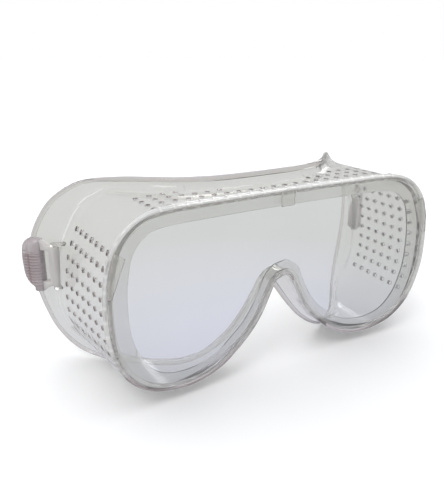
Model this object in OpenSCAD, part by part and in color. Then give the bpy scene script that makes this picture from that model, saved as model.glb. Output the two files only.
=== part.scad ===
// Direct-vent safety goggles: a soft clear moulded mask, a thin clear lens held in the
// rim, and a swinging strap clip with a ribbed grip on each side.
// The front faces -Y, +X is to the right seen from the front, +Z is up. The origin is on
// the mid-plane at table height, half-way between the lens and the face edge.

/* [Mask] */
// Depth from the front of the rim at mid-width to the crease where the face flange starts
side_wall_depth = 45; // [40:0.5:48]
// Wall thickness of the moulded mask
wall_t = 1.8; // [1.2:0.1:2.4]
// Radius of the gently hollow front face
front_radius = 760; // [500:10:1200]
// Thickness of the face flange at its root
flange_t = 1.8; // [1.2:0.1:2.2]
// Thickness of the rolled bead on the flange's edge
bead_t = 2.6; // [2:0.1:3.2]

/* [Rim] */
// Depth of the rim from its front face to its back face
rim_depth = 3.0; // [2.8:0.1:3.1]
// Depth of the lip that holds the lens from the front
lip_depth = 0.8; // [0.6:0.1:0.9]
// Width of the rim beside the eye opening
rim_side = 9.6; // [8:0.1:10]
// Width of the rim above the eye opening
rim_top = 7.3; // [6.5:0.1:7.6]
// Width of the rim below the eye opening
rim_bottom = 6.4; // [5.5:0.1:6.8]
// Width of the rim beside the nose
rim_nose = 5; // [4.5:0.1:5.4]

/* [Lens] */
// Thickness of the clear lens
lens_t = 1.2; // [1:0.1:1.3]
// How far the lens reaches under the lip
lens_hold = 1.5; // [1:0.1:1.8]
// Clearance between the lens and its groove
lens_gap = 0.15; // [0.1:0.05:0.2]

/* [Vents] */
// Diameter of one vent hole
vent_d = 2.2; // [1.6:0.1:2.6]
// Pitch of the vent holes
vent_pitch = 5.4; // [5:0.05:5.6]
// Vent columns on each side wall, front to back
side_columns = 7; // [5:1:7]
// Vent rows on each side wall, top to bottom
side_rows = 9; // [7:1:9]
// Vent columns across the top wall
top_columns = 21; // [15:2:21]
// Vent rows on the top wall, front to back
top_rows = 4; // [2:1:5]

/* [Strap clips] */
// Height of the clip's hinge bar
hinge_bar_h = 16.5; // [14:0.5:18]
// Diameter of the clip's hinge bar
hinge_bar_d = 3.6; // [3.4:0.1:4]
// Diameter of the hinge pin
hinge_pin_d = 1.8; // [1.6:0.1:2]
// Running clearance round the hinge pin
pin_gap = 0.08; // [0.05:0.01:0.1]
// Thickness of the clip's slotted frame
frame_t = 3; // [2.4:0.1:3.4]
// Height of the strap slot, the widest strap that it takes
slot_h = 13; // [11:0.5:13]
// Width of the strap slot across the clip
slot_w = 3.6; // [3:0.1:4]
// Height of the ribbed grip with its caps
grip_h = 22; // [20:0.5:24]
// Width of the ribbed grip
grip_w = 8.4; // [8:0.1:9]
// Thickness of the ribbed grip, front to back
grip_t = 6.6; // [6:0.1:6.8]
// Number of ribs on the grip
grip_ribs = 11; // [8:1:11]
// Pitch of the ribs on the grip
rib_pitch = 1.22; // [1.1:0.02:1.24]
// How far both clips point back of straight outwards, in degrees
clip_fold = 45; // [0:1:47]

/* [Hidden] */

// Where the drawing datum, the front face at the bottom of the rim, lies in the part's frame
datum = [0, -28.5, 5.72];
front_y = 0.4;
spline_steps = 4;
big = 400;

// Width of the lip's outline around the eye opening, above, beside, below and at the nose
lip_widths = [4.8, 6, 3.2, 2.6];
tab_w = 5.8;
tab_t = 0.9;
// Wedge on each upper corner of the rim, [x, z]
SIDE_TAB = [[71.6, 58], [68.3, 55.3], [74.1, 42], [75.2, 42], [74.6, 50], [72.6, 56.5]];
first_vent_y = 4.6;
first_side_vent_z = 12.6;
// Where the vent drills start, inside the mask, and how far they reach
drill_from = 60;
drill_reach = 30;
// Depths that a cutter needs to pass right through the rim, or through the whole wall
past_front = -20;
past_rim = 20;
past_back = 80;

// Right half of each outline, [x, z] from the top centre down round to the nose arch
EYE = [[0, 63], [30, 63], [50, 62.9], [58.5, 61.3], [64.3, 55.5], [66.6, 47], [67.4, 38],
       [66.6, 26], [62.5, 14.5], [56, 7.6], [48, 5], [39.5, 5.2], [31.2, 7.8], [25.2, 12],
       [18.7, 17.7], [14.3, 23.6], [11, 30], [7.4, 37], [0, 40.6]];
WALL = [[0, 69.2], [30, 69.2], [51, 69], [61, 67.2], [68.5, 61.5], [72.6, 54], [75.4, 46],
        [76.4, 38], [76.6, 28], [75.4, 18.5], [71.2, 9.4], [64.2, 3], [56, -0.2],
        [47.5, -0.8], [37.5, 1], [28.5, 4.6], [20.5, 9.6], [13.6, 17.4], [9.3, 25.4],
        [5, 32], [0, 34.6]];
// The flange's edge beside each point of WALL, [x, z, y]
EDGE = [[0, 74, 19.5], [31, 74, 22.5], [52, 73.4, 39.5], [64, 70.4, 54], [73.9, 64, 60],
        [80.4, 56.7, 60.5], [84.6, 47.8, 60.5], [85.4, 38.5, 60.5], [84.3, 28, 60],
        [81.7, 17, 59], [77.8, 6.5, 56.5], [71.5, -1.4, 50], [61.5, -5, 39],
        [50, -5.6, 28], [38, -4.8, 20.5], [28, -0.4, 16.5], [18.8, 6.4, 14.8],
        [11, 14.9, 14.2], [5.2, 22.6, 14.2], [2.4, 26.6, 14.6], [0, 28.8, 15]];
// Depth of the crease, as fractions of the side wall's depth, over x
CREASE_TOP = [[0, 0.345], [20, 0.39], [35, 0.51], [45, 0.67], [52, 0.83], [58, 0.935],
              [66, 0.99], [78, 1]];
CREASE_LOW = [[0, 0.21], [20, 0.21], [30, 0.245], [40, 0.335], [50, 0.51], [60, 0.755],
              [68, 0.92], [72, 0.98], [78, 1]];
crease_split_z = 45;
// Stations of WALL where the wall and the flange are split into upper and lower pieces
split_station = 10;
// Half the width and the height of the block that goes to the lower pieces with the nose arch
nose_half_w = 30;
nose_h = 36;

// Clearance that keeps the flange's root out of the end of the wall
root_gap = 0.15;

// The clip's hinge axis and its ears
hinge_x = 79.2;
hinge_y = 44.6;
clip_z = 39.5;
ear_h = 1;
ear_gap = 0.15;
// Points inside the wall that each ear reaches to, [x, y] from the hinge axis
EAR_ROOT = [[-6, -2.2], [-6, -1.3]];
ear_rim = 0.6;
slot_x = hinge_bar_d / 2 + 0.3;
grip_x = slot_x + slot_w;
// Heights of the arms' outer edges where they meet the grip
arm_top = 0.488 * grip_h;
arm_bottom = -0.485 * grip_h;
// The grip's outline seen square on, [share of width, share of height]
GRIP_EDGE = [[0, 0.47], [0.17, 0.505], [0.45, 0.515], [0.72, 0.46], [0.92, 0.35],
             [1, 0.18], [0.99, 0.02], [0.87, -0.16], [0.68, -0.27], [0.46, -0.36],
             [0.2, -0.44], [0, -0.485], [-0.07, -0.2], [-0.1, 0], [-0.07, 0.2]];
// Each lobe of the grip, [share of width, radius less than half the thickness]
LOBES = [[0.3, 0], [0.68, 0.3]];
ribs_z = -1.45;
groove_depth = 0.5;

// ---- Outline functions ----

function mirrored(half) = concat(
    half, [for (i = [len(half) - 2 : -1 : 1])
           [for (k = [0 : len(half[i]) - 1]) k == 0 ? -half[i][0] : half[i][k]]]);

function curve_point(a, b, c, d, t) =
    0.5 * (2 * b + (c - a) * t + (2 * a - 5 * b + 4 * c - d) * t * t
           + (3 * b - a - 3 * c + d) * t * t * t);

function closed_curve(points) = let (n = len(points)) [
    for (i = [0 : n - 1], s = [0 : spline_steps - 1])
        curve_point(points[(i + n - 1) % n], points[i], points[(i + 1) % n],
                    points[(i + 2) % n], s / spline_steps)];

// Outward normal of a clockwise outline at one of its points
function normal(points, i) = let (
    n = len(points), t = points[(i + 1) % n] - points[(i + n - 1) % n],
    l = norm([t[0], t[1]])) [-t[1], t[0]] / l;

// Moves an outline outwards by different widths above, beside, below and at the nose
function widened(points, top, side, bottom, nose) = [
    for (i = [0 : len(points) - 1])
        let (v = normal(points, i),
             beside = v[0] * points[i][0] >= 0 ? side : nose,
             above = v[1] >= 0 ? top : bottom)
        points[i] + v * (beside * v[0] * v[0] + above * v[1] * v[1])];

function crease(x, z) =
    side_wall_depth * lookup(abs(x), z >= crease_split_z ? CREASE_TOP : CREASE_LOW);

eye_outline = closed_curve(mirrored(EYE));
lip_outline = widened(eye_outline, lip_widths[0], lip_widths[1], lip_widths[2],
                      lip_widths[3]);
lens_outline = widened(lip_outline, lens_hold, lens_hold, lens_hold, lens_hold);
groove_outline = widened(lens_outline, lens_gap, lens_gap, lens_gap, lens_gap);
rim_outline = widened(eye_outline, rim_top, rim_side, rim_bottom, rim_nose);
wall_outline = closed_curve(mirrored(WALL));
wall_inner = widened(wall_outline, -wall_t, -wall_t, -wall_t, -wall_t);
edge_outline = closed_curve(mirrored(EDGE));

// ---- Building blocks ----

module in_place() translate(datum) children();

// A prism along Y with an [x, z] outline, from y = from to y = to
module prism(outline, from, to)
    translate([0, to, 0]) rotate([90, 0, 0]) linear_extrude(to - from) polygon(outline);

// The space in front of the hollow front face moved back by depth
module ahead_of(depth)
    translate([0, front_y - front_radius, -big / 4])
        cylinder(r = front_radius + depth, h = big, $fn = 360);

// A ring or sheet between two outlines and two depths behind the front face
module layer(outer, inner, from, to)
    difference() {
        intersection() {
            prism(outer, past_front / 2, past_rim / 2);
            ahead_of(to);
        }
        if (len(inner) > 0) prism(inner, past_front, past_rim);
        ahead_of(from);
    }

// The space in front of the crease, above or below the level where its plan changes
module before_crease(table, z_from, z_to)
    translate([0, 0, z_from]) linear_extrude(z_to - z_from)
        polygon(concat([[-90, -10]],
                       [for (i = [len(table) - 1 : -1 : 1])
                        [-table[i][0], table[i][1] * side_wall_depth]],
                       [for (p = table) [p[0], p[1] * side_wall_depth]],
                       [[90, side_wall_depth], [90, -10]]));

module wall_tube()
    difference() {
        intersection() {
            prism(wall_outline, past_front / 2, past_back);
            union() {
                before_crease(CREASE_TOP, crease_split_z, 90);
                before_crease(CREASE_LOW, -20, crease_split_z);
            }
        }
        prism(wall_inner, past_front, past_back + 1);
        ahead_of(rim_depth);
    }

split_z = WALL[split_station][1];
module above_split() translate([-big / 2, -big / 2, split_z]) cube(big);
module below_split() translate([-big / 2, -big / 2, split_z - big]) cube(big);
// The nose arch rises above the split, so it is kept with the lower pieces
module nose_block()
    translate([-nose_half_w, -big / 2, split_z - 1]) cube([2 * nose_half_w, big, nose_h]);

module side_vents()
    for (side = [-1, 1], c = [0 : side_columns - 1], r = [0 : side_rows - 1])
        translate([side * drill_from, first_vent_y + c * vent_pitch,
                   first_side_vent_z + r * vent_pitch])
            rotate([0, 90 * side, 0]) cylinder(d = vent_d, h = drill_reach, $fn = 24);

module top_vents()
    for (c = [-(top_columns - 1) / 2 : (top_columns - 1) / 2], r = [0 : top_rows - 1])
        let (y = first_vent_y + r * vent_pitch)
            if (y < crease(c * vent_pitch, WALL[0][1]) - vent_d)
                translate([c * vent_pitch, y, drill_from])
                    cylinder(d = vent_d, h = drill_reach, $fn = 24);

// Section of the flange at station i, from the outer root round the bead to the inner root
function flange_section(i) = let (
    w = wall_outline[i], v = normal(wall_outline, i), e = edge_outline[i],
    root = [w[0], crease(w[0], w[1]) + root_gap, w[1]],
    inner = w - v * wall_t,
    inner_root = [inner[0], crease(inner[0], inner[1]) + root_gap, inner[1]],
    edge = [e[0], e[2], e[1]],
    run = (edge - root) / norm(edge - root),
    across = [v[0], 0, v[1]] - run * ([v[0], 0, v[1]] * run),
    up = across / norm(across),
    neck = edge - run * bead_t) [
        root, neck, neck + up * (bead_t - flange_t) / 2 + run * 0.6,
        edge + up * (bead_t - flange_t) / 2 - run * 0.5, edge - up * flange_t / 2,
        edge - up * (bead_t + flange_t) / 2 - run * 0.5,
        neck - up * (bead_t + flange_t) / 2 + run * 0.6, neck - up * flange_t, inner_root];

// A strip of flange through a run of stations, closed at both ends
module flange_strip(first, last) {
    n = len(wall_outline);
    sections = [for (i = [first : last]) flange_section((i + n) % n)];
    m = len(sections[0]);
    rings = len(sections);
    points = [for (s = sections, p = s) p];
    sides = [for (i = [0 : rings - 2], k = [0 : m - 1])
             [i * m + k, i * m + (k + 1) % m, (i + 1) * m + (k + 1) % m, (i + 1) * m + k]];
    ends = [[for (k = [m - 1 : -1 : 0]) k], [for (k = [0 : m - 1]) (rings - 1) * m + k]];
    polyhedron(points, concat(sides, ends), convexity = 8);
}

// The clip in its own frame: hinge axis on Z at the origin, pointing along +X
module clip_body()
    difference() {
        union() {
            cylinder(d = hinge_bar_d, h = hinge_bar_h, center = true, $fn = 48);
            rotate([90, 0, 0]) linear_extrude(frame_t, center = true)
                polygon([[0, hinge_bar_h / 2], [slot_x, hinge_bar_h / 2],
                         [grip_x, arm_top], [grip_x, arm_bottom],
                         [slot_x, -hinge_bar_h / 2], [0, -hinge_bar_h / 2]]);
        }
        translate([slot_x, -frame_t, -slot_h / 2]) cube([slot_w + 1, 2 * frame_t, slot_h]);
        cylinder(d = hinge_pin_d + 2 * pin_gap, h = 2 * hinge_bar_h, center = true, $fn = 48);
    }

// The grip's outline; it bulges into the slot but not into the frame's arms
module grip_outline()
    difference() {
        polygon(closed_curve([for (p = GRIP_EDGE) [p[0] * grip_w, p[1] * grip_h]]));
        for (end = [-1, 1])
            translate([-grip_w, end * (slot_h + grip_h) / 2 - grip_h / 2]) square([grip_w, grip_h]);
    }

// The barrel that is pulled on: two lobed faces with ribs and a smooth cap at each end
module grip_body()
    translate([grip_x, 0, 0]) intersection() {
        rotate([90, 0, 0]) linear_extrude(2 * grip_t, center = true) grip_outline();
        difference() {
            grip_slice(2 * grip_h, 0);
            for (i = [0 : grip_ribs]) translate([0, 0, ribs_z + (i - grip_ribs / 2) * rib_pitch])
                difference() {
                    grip_slice(rib_pitch / 2, -1);
                    grip_slice(rib_pitch, groove_depth);
                }
        }
    }

module grip_slice(h, inset)
    linear_extrude(h, center = true) for (lobe = LOBES)
        translate([grip_w * lobe[0], 0]) circle(r = grip_t / 2 - lobe[1] - inset, $fn = 48);

// A pin between two ears, which end flush with the wall
module hinge_post_body() {
    for (end = [-1, 1])
        translate([0, 0, end * (hinge_bar_h / 2 + ear_gap + ear_h / 2)])
            linear_extrude(ear_h, center = true) hull() {
                circle(d = hinge_pin_d + 2 * ear_rim, $fn = 32);
                for (p = EAR_ROOT) translate(p) circle(d = ear_h, $fn = 16);
            }
    cylinder(d = hinge_pin_d, h = hinge_bar_h + 2 * (ear_gap + ear_h), center = true, $fn = 48);
}

module on_right() translate([hinge_x, hinge_y, clip_z]) children();

// ---- Sub-parts ----

module front_rim() color("gainsboro") in_place() {
    layer(rim_outline, lip_outline, 0, lip_depth);
    layer(rim_outline, groove_outline, lip_depth, lip_depth + lens_t + 2 * lens_gap);
    layer(rim_outline, eye_outline, lip_depth + lens_t + 2 * lens_gap, rim_depth);
}

module lens_tabs() color("silver") in_place() {
    // Tab over the middle of the lens's top edge
    intersection() {
        layer(groove_outline, [], -tab_t, 0);
        translate([-tab_w / 2, past_front, EYE[0][1]]) cube([tab_w, past_rim - past_front, rim_top]);
    }
    // Wedge over each upper side of the lens
    for (side = [0, 1]) mirror([side, 0, 0]) intersection() {
        layer(rim_outline, [], -tab_t, 0);
        prism(SIDE_TAB, past_front, past_rim);
    }
}

module lens() color("lightsteelblue") in_place()
    layer(lens_outline, [], lip_depth + lens_gap, lip_depth + lens_gap + lens_t);

module vent_wall() color("whitesmoke") in_place() difference() {
    intersection() {
        wall_tube();
        above_split();
    }
    nose_block();
    side_vents();
    top_vents();
}

module cheek_wall() color("whitesmoke") in_place() intersection() {
    wall_tube();
    union() {
        below_split();
        nose_block();
    }
}

module brow_flange() color("gainsboro") in_place()
    flange_strip(-split_station * spline_steps, split_station * spline_steps);

module cheek_flange() color("gainsboro") in_place()
    flange_strip(split_station * spline_steps,
                 len(wall_outline) - split_station * spline_steps);

module hinge_post() difference() {
    on_right() hinge_post_body();
    prism(wall_outline, past_front / 2, past_back);
}
module left_hinge_post() color("gainsboro") in_place() mirror([1, 0, 0]) hinge_post();
module right_hinge_post() color("gainsboro") in_place() hinge_post();
module right_clip_place() on_right() rotate([0, 0, clip_fold]) children();
module left_strap_clip() color("rosybrown") in_place()
    mirror([1, 0, 0]) right_clip_place() clip_body();
module right_strap_clip() color("rosybrown") in_place() right_clip_place() clip_body();
module left_ribbed_grip() color("rosybrown") in_place()
    mirror([1, 0, 0]) right_clip_place() grip_body();
module right_ribbed_grip() color("rosybrown") in_place() right_clip_place() grip_body();

front_rim();
lens_tabs();
lens();
vent_wall();
cheek_wall();
brow_flange();
cheek_flange();
left_hinge_post();
right_hinge_post();
left_strap_clip();
right_strap_clip();
left_ribbed_grip();
right_ribbed_grip();
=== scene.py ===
"""Looks for the clear direct-vent safety goggles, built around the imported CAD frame.

Lengths below are in millimetres in the drawing's own datum (front face at the bottom of
the rim), and to_frame() turns them into metres in the row frame.
"""

import math

import bmesh
import bpy
import numpy as np
from mathutils import Matrix, Vector

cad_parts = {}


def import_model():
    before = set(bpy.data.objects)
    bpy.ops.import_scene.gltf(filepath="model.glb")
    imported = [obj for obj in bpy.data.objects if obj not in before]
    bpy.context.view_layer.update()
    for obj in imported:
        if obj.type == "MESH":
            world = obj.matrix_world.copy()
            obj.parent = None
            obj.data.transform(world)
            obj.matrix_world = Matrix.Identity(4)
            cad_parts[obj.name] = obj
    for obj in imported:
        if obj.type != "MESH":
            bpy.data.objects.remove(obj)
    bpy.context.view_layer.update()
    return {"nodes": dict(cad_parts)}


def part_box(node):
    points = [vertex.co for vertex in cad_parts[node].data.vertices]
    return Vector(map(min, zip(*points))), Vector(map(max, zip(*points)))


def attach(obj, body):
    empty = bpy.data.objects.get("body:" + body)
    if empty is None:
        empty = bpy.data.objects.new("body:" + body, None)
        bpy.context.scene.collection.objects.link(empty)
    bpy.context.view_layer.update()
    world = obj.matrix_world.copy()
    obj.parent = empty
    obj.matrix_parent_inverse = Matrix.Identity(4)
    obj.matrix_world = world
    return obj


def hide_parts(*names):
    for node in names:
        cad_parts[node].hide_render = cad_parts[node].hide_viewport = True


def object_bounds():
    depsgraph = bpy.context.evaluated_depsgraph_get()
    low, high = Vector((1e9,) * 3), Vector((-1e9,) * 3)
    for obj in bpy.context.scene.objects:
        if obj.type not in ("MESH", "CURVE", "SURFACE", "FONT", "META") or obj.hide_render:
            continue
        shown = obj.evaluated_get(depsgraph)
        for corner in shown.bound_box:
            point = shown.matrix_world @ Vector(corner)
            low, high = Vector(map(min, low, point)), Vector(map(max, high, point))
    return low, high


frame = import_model()

MM = 0.001

# ---- Driving sizes, the CAD part's except where a comment says so ----
FRONT_RADIUS = 760.0
RIM_DEPTH = 3.0
LIP_DEPTH = 0.8
LENS_T = 1.2
LENS_GAP = 0.15
LENS_HOLD = 1.5
WALL_T = 1.8
FLANGE_T = 1.8
BEAD_T = 2.6
CREASE_DEPTH = 45.0
VENT_PITCH = 5.4
VENT_Y = 4.6
VENT_Z0 = 12.6
SIDE_COLUMNS = 7
SIDE_ROWS = 9
TOP_HALF_COLUMNS = 10
TOP_ROWS = 4
CELL_STEPS = 4

# Right half of each outline, (x, z) from the top centre down round to the nose arch
EYE = [(0, 63), (30, 63), (50, 62.9), (58.5, 61.3), (64.3, 55.5), (66.6, 47), (67.4, 38),
       (66.6, 26), (62.5, 14.5), (56, 7.6), (48, 5), (39.5, 5.2), (31.2, 7.8), (25.2, 12),
       (18.7, 17.7), (14.3, 23.6), (11, 30), (7.4, 37), (0, 40.6)]
WALL = [(0, 69.2), (30, 69.2), (51, 69), (61, 67.2), (68.5, 61.5), (72.6, 54), (75.4, 46),
        (76.4, 38), (76.6, 28), (75.4, 18.5), (71.2, 9.4), (64.2, 3), (56, -0.2),
        (47.5, -0.8), (37.5, 1), (28.5, 4.6), (20.5, 9.6), (13.6, 17.4), (9.3, 25.4),
        (5, 32), (0, 34.6)]
# The flange's edge beside each point of WALL, (x, z, y)
EDGE = [(0, 74, 19.5), (31, 74, 22.5), (52, 73.4, 39.5), (64, 70.4, 54), (73.9, 64, 60),
        (80.4, 56.7, 60.5), (84.6, 47.8, 60.5), (85.4, 38.5, 60.5), (84.3, 28, 60),
        (81.7, 17, 59), (77.8, 6.5, 56.5), (71.5, -1.4, 50), (61.5, -5, 39),
        (50, -5.6, 28), (38, -4.8, 20.5), (28, -0.4, 16.5), (18.8, 6.4, 14.8),
        (11, 14.9, 14.2), (5.2, 22.6, 14.2), (2.4, 26.6, 14.6), (0, 28.8, 15)]
CREASE_TOP = [(0, 0.345), (20, 0.39), (35, 0.51), (45, 0.67), (52, 0.83), (58, 0.935),
              (66, 0.99), (78, 1)]
CREASE_LOW = [(0, 0.21), (20, 0.21), (30, 0.245), (40, 0.335), (50, 0.51), (60, 0.755),
              (68, 0.92), (72, 0.98), (78, 1)]
CREASE_SPLIT_Z = 45.0
CREASE_BLEND = 12.0
CREASE_LEAST = 9.0
# Reach of the bend where the crease is shallowest, and what it gains at full depth
BEND, BEND_GAIN = 2.6, 3.4
# Outward lean of the side walls, (height, mm per vent pitch of depth), and where it is nil.
# Not in the CAD, whose side walls are upright: these stand up to 1.7 mm inside them at the
# rim and 2.6 mm outside them at the crease, where the hinge bars are sunk in the wall.
LEAN = [(-5, 0.7), (12.6, 0.7), (28, 0.46), (39.5, 0.31), (50, 0.17), (62, 0)]
LEAN_FROM = 20.6

# Widths of the lens lip and of the rim round the eye opening: top, side, bottom, nose
LIP_WIDTHS = (4.8, 6, 3.2, 2.6)
RIM_WIDTHS = (7.3, 9.6, 6.4, 5)
RIM_CORNER = 0.95
# The rim's sides narrow towards the back, from one height up and in full after a rise.
# This taper and the cross ribs below aren't in the CAD.
RIM_SIDE_TAPER = 1.7
TAPER_FROM_Z, TAPER_RISE = 12, 30
# Height of the rim's moulded cross ribs on the top and on the sides, and half their width
RIB_TOP, RIB_SIDE, RIB_HALF_W = 0.34, 0.05, 0.4

# The skin thins over its last levels, which isn't in the CAD, and has a bead at its edge
EDGE_T = FLANGE_T * 0.8
THINNING_LEVELS = 12
BEAD_OUT = 0.94
BEAD_ANGLES = np.radians(np.linspace(136, -136, 13)[1:-1])

VENT_R = 1.0
# How far in front of the crease the top's last vents have to be, and the top wall's height
VENT_MARGIN = 2.2
TOP_Z = 69
# Rings down a vent's wall: (radius beyond VENT_R, share of the depth, painted highlight, painted
# shade)
VENT_RINGS = [(0.08, 0.0, 0, 0), (0, 0.1, 0, 1), (0, 0.5, 0, 0.45), (0, 0.9, 1, 0),
              (0.08, 1.0, 0, 0)]

# Marks of painted light: painted highlight makes the plastic whiter and less clear, painted shade
# makes it darker and browner.
# The rim section's points on its front corner and on the lip's edge
FRONT_CORNER = range(3, 9)
LIP_EDGE = range(12, 15)
# Painted highlight on the rim's top, on its sides and, but for the ribs, on its bottom
RIB_HIGHLIGHT = (0.85, 0.58)
CORNER_HIGHLIGHT = (0.65, 0.4, 0.1)
LIP_HIGHLIGHT = (0.45, 0.12, 0.12)
REAR_HIGHLIGHT, INNER_HIGHLIGHT = 0.4, 0.06
# Painted highlight along the crease between the wall and the flange
CREASE_HIGHLIGHT = 0.5
# Painted shade on the rim below a height, and on the bead
LOW_RIM_Z = 11
BOTTOM_SHADE = 0.6
BEAD_SHADE = 0.3
# Painted highlight on a lens tab's buried back and painted shade on its edge
TAB_HIGHLIGHT, TAB_SHADE = 0.3, 0.5

SIDES = ((-1, "left"), (1, "right"))

# The drawing's datum in the row frame, and the front face's depth at the middle
DATUM = Vector((0.0, -28.5 * MM, 5.72 * MM))
FRONT_Y = 0.4
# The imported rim's box, whose middle the lights point at
rim_low, rim_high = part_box("front_rim")


def to_frame(x, y, z):
    return Vector((x * MM, y * MM, z * MM)) + DATUM


# ---- Outlines ----

def spline(points, steps):
    """Closed smooth curve through points, as an array."""
    pts = [np.array(p, float) for p in points]
    n = len(pts)
    out = []
    for i in range(n):
        a, b, c, d = pts[i - 1], pts[i], pts[(i + 1) % n], pts[(i + 2) % n]
        for s in range(steps):
            t = s / steps
            out.append(0.5 * (2 * b + (c - a) * t + (2 * a - 5 * b + 4 * c - d) * t * t
                              + (3 * b - a - 3 * c + d) * t ** 3))
    return np.array(out)


def closed_curve(half, steps):
    """Closed smooth curve through a right half and its mirror image."""
    return spline(half + [(-p[0], *p[1:]) for p in reversed(half[1:-1])], steps)


def normals(points):
    """Outward unit normals of a clockwise closed outline in (x, z)."""
    t = np.roll(points, -1, axis=0) - np.roll(points, 1, axis=0)
    n = np.stack([-t[:, 1], t[:, 0]], 1)
    return n / np.linalg.norm(n, axis=1)[:, None]


def widened(points, top, side, bottom, nose):
    """Moves an outline outwards by different widths above, beside, below and at the nose."""
    v = normals(points)
    beside = np.where(v[:, 0] * points[:, 0] >= 0, side, nose)
    above = np.where(v[:, 1] >= 0, top, bottom)
    return points + v * (beside * v[:, 0] ** 2 + above * v[:, 1] ** 2)[:, None]


def unit(t):
    """t kept between 0 and 1."""
    return min(max(t, 0), 1)


def lookup(x, table):
    """Value at a distance from the mid-plane, from (distance, value) pairs."""
    return np.interp(abs(x), *zip(*table))


def crease_depth(x, z):
    """Depth of the crease between the wall and the flange."""
    low, high = lookup(x, CREASE_LOW), lookup(x, CREASE_TOP)
    t = unit((z - (CREASE_SPLIT_Z - CREASE_BLEND / 2)) / CREASE_BLEND)
    return CREASE_DEPTH * (low + (high - low) * t * t * (3 - 2 * t))


def front_y(x):
    """Depth of the hollow front face at x."""
    return FRONT_Y - x * x / (2 * FRONT_RADIUS)


# ---- The moulded mask: one closed skin with real vent holes ----

RING_STEPS, EYE_STEPS = 60, 80
wall_ring = closed_curve(WALL, RING_STEPS)
edge_ring = closed_curve(EDGE, RING_STEPS)
wall_out = normals(wall_ring)
HALF = len(wall_ring) // 2
eye_ring = closed_curve(EYE, EYE_STEPS)
eye_out = normals(eye_ring)
lip_ring = widened(eye_ring, *LIP_WIDTHS)
groove_ring = widened(lip_ring, *[LENS_HOLD + LENS_GAP] * 4)
rim_ring = widened(eye_ring, *RIM_WIDTHS)


def ring_at(ring, u):
    """A closed ring's value at a fractional index."""
    n = len(ring)
    i = int(math.floor(u))
    t = u - i
    return ring[i % n] * (1 - t) + ring[(i + 1) % n] * t


def u_of_x(x):
    """Index on the wall ring where the top wall is at x, for x from 0 to the corner."""
    return float(np.interp(x, wall_ring[:4 * RING_STEPS, 0], np.arange(4 * RING_STEPS)))


SIDE_FROM, SIDE_TO = 3 * RING_STEPS, 11 * RING_STEPS


def u_of_z(z):
    """Index on the right half of the wall ring where the side wall is at z."""
    zs = wall_ring[SIDE_FROM:SIDE_TO, 1][::-1]
    return float(np.interp(z, zs, np.arange(SIDE_TO - 1, SIDE_FROM - 1, -1)))


# Offsets of the stations from a vent's line, with a close pair at each flank of a rib
RIB_FLANKS = [-0.5, -0.3, 0.3, 0.5]
CELL_OFFSETS = sorted([(-0.5 + k / CELL_STEPS) * VENT_PITCH for k in range(CELL_STEPS + 1)
                       if k != CELL_STEPS // 2] + RIB_FLANKS)
CORNER_STATIONS, BOTTOM_STATIONS = 12, 64


def index_at_x(x):
    """Index on the whole wall ring where the top wall is at x."""
    return u_of_x(x) if x >= 0 else 2 * HALF - u_of_x(-x)


def index_at_z(side, z):
    """Index on the whole wall ring where one side wall is at z."""
    return u_of_z(z) if side > 0 else 2 * HALF - u_of_z(z)


def spaced(a, b, count):
    """count indices between a and b, evenly spaced along the wall ring, without the ends."""
    idx = np.linspace(a, b, 400)
    pts = np.array([ring_at(wall_ring, u) for u in idx])
    s = np.concatenate([[0], np.cumsum(np.linalg.norm(np.diff(pts, axis=0), axis=1))])
    return [float(np.interp(s[-1] * (k + 1) / (count + 1), s, idx)) for k in range(count)]


def right_half_stations():
    """Indices of the stations on the right half, clockwise: top, corner, side and bottom."""
    xs = sorted({round(c * VENT_PITCH + o, 4) for c in range(TOP_HALF_COLUMNS + 1)
                 for o in CELL_OFFSETS if c * VENT_PITCH + o > 0})
    top = [u_of_x(x) for x in xs]
    zs = sorted({round(VENT_Z0 + r * VENT_PITCH + o, 4) for r in range(SIDE_ROWS)
                 for o in CELL_OFFSETS}, reverse=True)
    side = [u_of_z(z) for z in zs]
    corner = spaced(top[-1], side[0], CORNER_STATIONS)
    bottom = spaced(side[-1], HALF, BOTTOM_STATIONS)
    return top, corner, side, bottom


top_u, corner_u, side_u, bottom_u = right_half_stations()
right_u = top_u + corner_u + side_u + bottom_u
stations = right_u + [float(HALF)] + [2 * HALF - u for u in reversed(right_u)]
N = len(stations)
first_side = len(top_u) + len(corner_u)


def flare(x, z, out_x, depth):
    """How far the side walls lean outwards at a depth, most of all low down."""
    lean = np.interp(z, *zip(*LEAN))
    return math.copysign(lean * out_x * out_x, x) * (depth - LEAN_FROM) / VENT_PITCH


class Path:
    """The wall's outside at one station, from the rim back round the crease to the edge."""

    def __init__(self, u):
        w, v, e = ring_at(wall_ring, u), ring_at(wall_out, u), ring_at(edge_ring, u)
        self.out = v
        self.back = front_y(w[0]) + RIM_DEPTH
        self.crease = crease_depth(w[0], w[1])

        def wall(y):
            return np.array([w[0] + flare(w[0], w[1], v[0], y), y, w[1]])

        root = wall(self.crease)
        edge = np.array([e[0], e[2], e[1]])
        bend = BEND + BEND_GAIN * (self.crease - CREASE_LEAST) / (CREASE_DEPTH - CREASE_LEAST)
        start = wall(self.crease - bend)
        reach = edge - root
        turn_end = root + reach * min(0.45, bend * 1.1 / np.linalg.norm(reach))
        pts = [wall(self.back), start]
        pts += [start * (1 - t) ** 2 + root * 2 * t * (1 - t) + turn_end * t * t
                for t in np.linspace(0, 1, 13)[1:]]
        pts += [edge]
        pts = np.array(pts)
        seg = np.linalg.norm(np.diff(pts, axis=0), axis=1)
        seg[0] = start[1] - self.back
        self.s = self.back + np.concatenate([[0], np.cumsum(seg)])
        self.pts = pts
        self.neck = self.s[-1] - (BEAD_OUT + BEAD_T / 2)

    def at(self, s):
        return np.array([np.interp(s, self.s, self.pts[:, k]) for k in range(3)])


VENT_LEVELS = SIDE_COLUMNS * CELL_STEPS + 1
EXTRA_LEVELS = 17
VENT_FIRST = VENT_Y - VENT_PITCH / 2
LEVEL_STEP = VENT_PITCH / CELL_STEPS
LEAST_STEP = 0.03


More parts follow.
